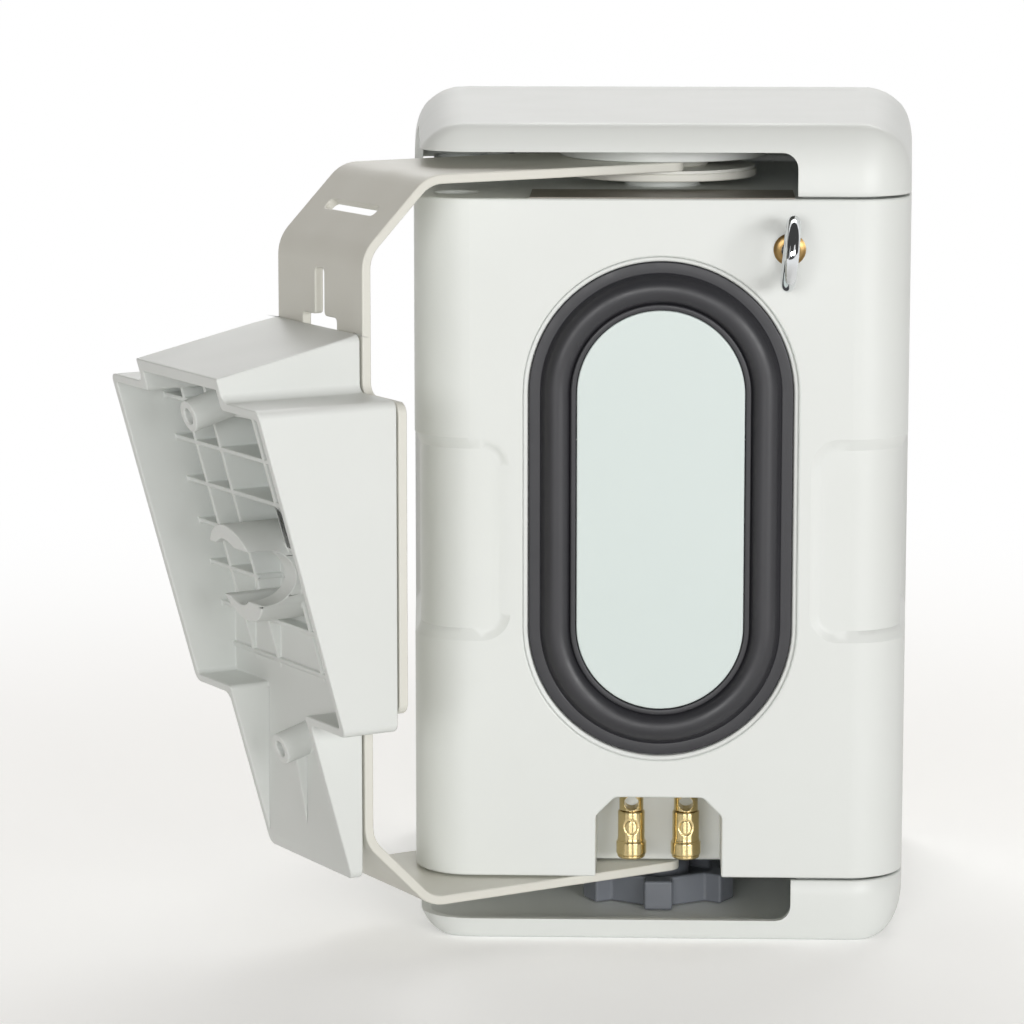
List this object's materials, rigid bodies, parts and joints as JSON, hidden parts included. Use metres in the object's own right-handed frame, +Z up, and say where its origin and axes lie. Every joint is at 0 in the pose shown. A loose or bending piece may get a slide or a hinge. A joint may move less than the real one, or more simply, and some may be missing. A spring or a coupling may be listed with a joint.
{
  "type": "outdoor_loudspeaker",
  "caption": "Off-white outdoor patio speaker with a rear passive radiator, gold binding posts, a safety eye bolt and a swivel strap bracket with a wedge wall mount.",
  "frame": {"origin": "Where the vertical swivel axis of the bracket meets the plane the speaker stands on.", "axes": "+Z is up. +Y points out of the rear panel with the radiator and the terminals. +X is the side the bracket swings out to; -Y is the grille side."},
  "size_m": [0.2816, 0.2547, 0.2865],
  "materials": {
    "offwhite_plastic": "satin moulded",
    "white_paint": "powder coated",
    "grille_paint": "powder coated",
    "black_rubber": "matte",
    "pale_piston": "smooth satin",
    "grey_plastic": "moulded",
    "dark_label": "printed film",
    "gold_plate": "bright plated",
    "brass": "turned",
    "bright_chrome": "polished",
    "zinc_steel": "zinc plated",
    "black_plastic": "moulded",
    "ferrite": "ground",
    "copper_wire": "enamelled",
    "cone_plastic": "moulded",
    "spider_cloth": "woven",
    "dome_metal": "anodised",
    "board": "solder mask",
    "felt": "needled"
  },
  "bodies": {
    "cabinet": {"cabinet_shell": "offwhite_plastic", "top_cap": "offwhite_plastic", "bottom_cap": "offwhite_plastic", "cap_screws": "zinc_steel", "front_baffle": "black_plastic", "baffle_gasket": "black_rubber", "baffle_screws": "zinc_steel", "driver_screws": "zinc_steel", "front_grille": "grille_paint", "label_plate": "dark_label", "radiator_surround": "black_rubber", "terminal_post_left": "gold_plate", "terminal_post_right": "gold_plate", "terminal_collars": "grey_plastic", "terminal_hex_nuts": "brass", "eye_bolt": "bright_chrome", "eye_insert": "brass", "pivot_pin": "zinc_steel", "pivot_plate": "white_paint", "upper_washer": "offwhite_plastic", "lower_washer": "black_rubber", "knob_insert": "brass", "woofer_basket": "black_plastic", "woofer_top_plate": "zinc_steel", "woofer_magnet": "ferrite", "woofer_yoke": "zinc_steel", "woofer_surround": "black_rubber", "woofer_spider": "spider_cloth", "tweeter_faceplate": "black_plastic", "tweeter_magnet": "ferrite", "tweeter_surround": "black_rubber", "crossover_board": "board", "crossover_inductor": "copper_wire", "crossover_capacitors": "black_plastic", "damping_felt": "felt"},
    "bracket": {"bracket_strap": "white_paint", "wall_mount": "offwhite_plastic", "lock_stud": "zinc_steel"},
    "clamp_knob": {"clamp_knob": "grey_plastic", "knob_stud": "zinc_steel"},
    "terminal_nut_left": {"terminal_nut_left": "gold_plate"},
    "terminal_nut_right": {"terminal_nut_right": "gold_plate"},
    "radiator": {"radiator_piston": "pale_piston", "radiator_weight": "zinc_steel"},
    "woofer": {"woofer_cone": "cone_plastic", "voice_coil": "copper_wire", "dust_cap": "cone_plastic"},
    "tweeter": {"tweeter_dome": "dome_metal"}
  },
  "joints": [
    {"name": "bracket_swivel", "type": "hinge", "parent": "cabinet", "child": "bracket", "pos_m": [0, 0, 0.1442], "axis": [0, 0, 1], "range_deg": [-50, 63]},
    {"name": "knob_turn", "type": "hinge", "parent": "cabinet", "child": "clamp_knob", "pos_m": [0, 0, 0.0212], "axis": [0, 0, -1], "range_deg": [0, 180]},
    {"name": "nut_turn_left", "type": "hinge", "parent": "cabinet", "child": "terminal_nut_left", "pos_m": [0.0095, 0.046, 0.0357], "axis": [0, 0, -1], "range_deg": [0, 360]},
    {"name": "nut_turn_right", "type": "hinge", "parent": "cabinet", "child": "terminal_nut_right", "pos_m": [-0.0095, 0.046, 0.0357], "axis": [0, 0, -1], "range_deg": [0, 360]},
    {"name": "radiator_stroke", "type": "slide", "parent": "cabinet", "child": "radiator", "axis": [0, 1, 0], "range_m": [-0.002, 0.002], "stiffness_N_per_m": 3000, "deforming": ["radiator_surround"]},
    {"name": "woofer_stroke", "type": "slide", "parent": "cabinet", "child": "woofer", "axis": [0, 1, 0], "range_m": [-0.0015, 0.0015], "stiffness_N_per_m": 2000, "deforming": ["woofer_surround", "woofer_spider"]},
    {"name": "tweeter_stroke", "type": "slide", "parent": "cabinet", "child": "tweeter", "axis": [0, 1, 0], "range_m": [-0.0003, 0.0003], "stiffness_N_per_m": 4000, "deforming": ["tweeter_surround"]}
  ]
}
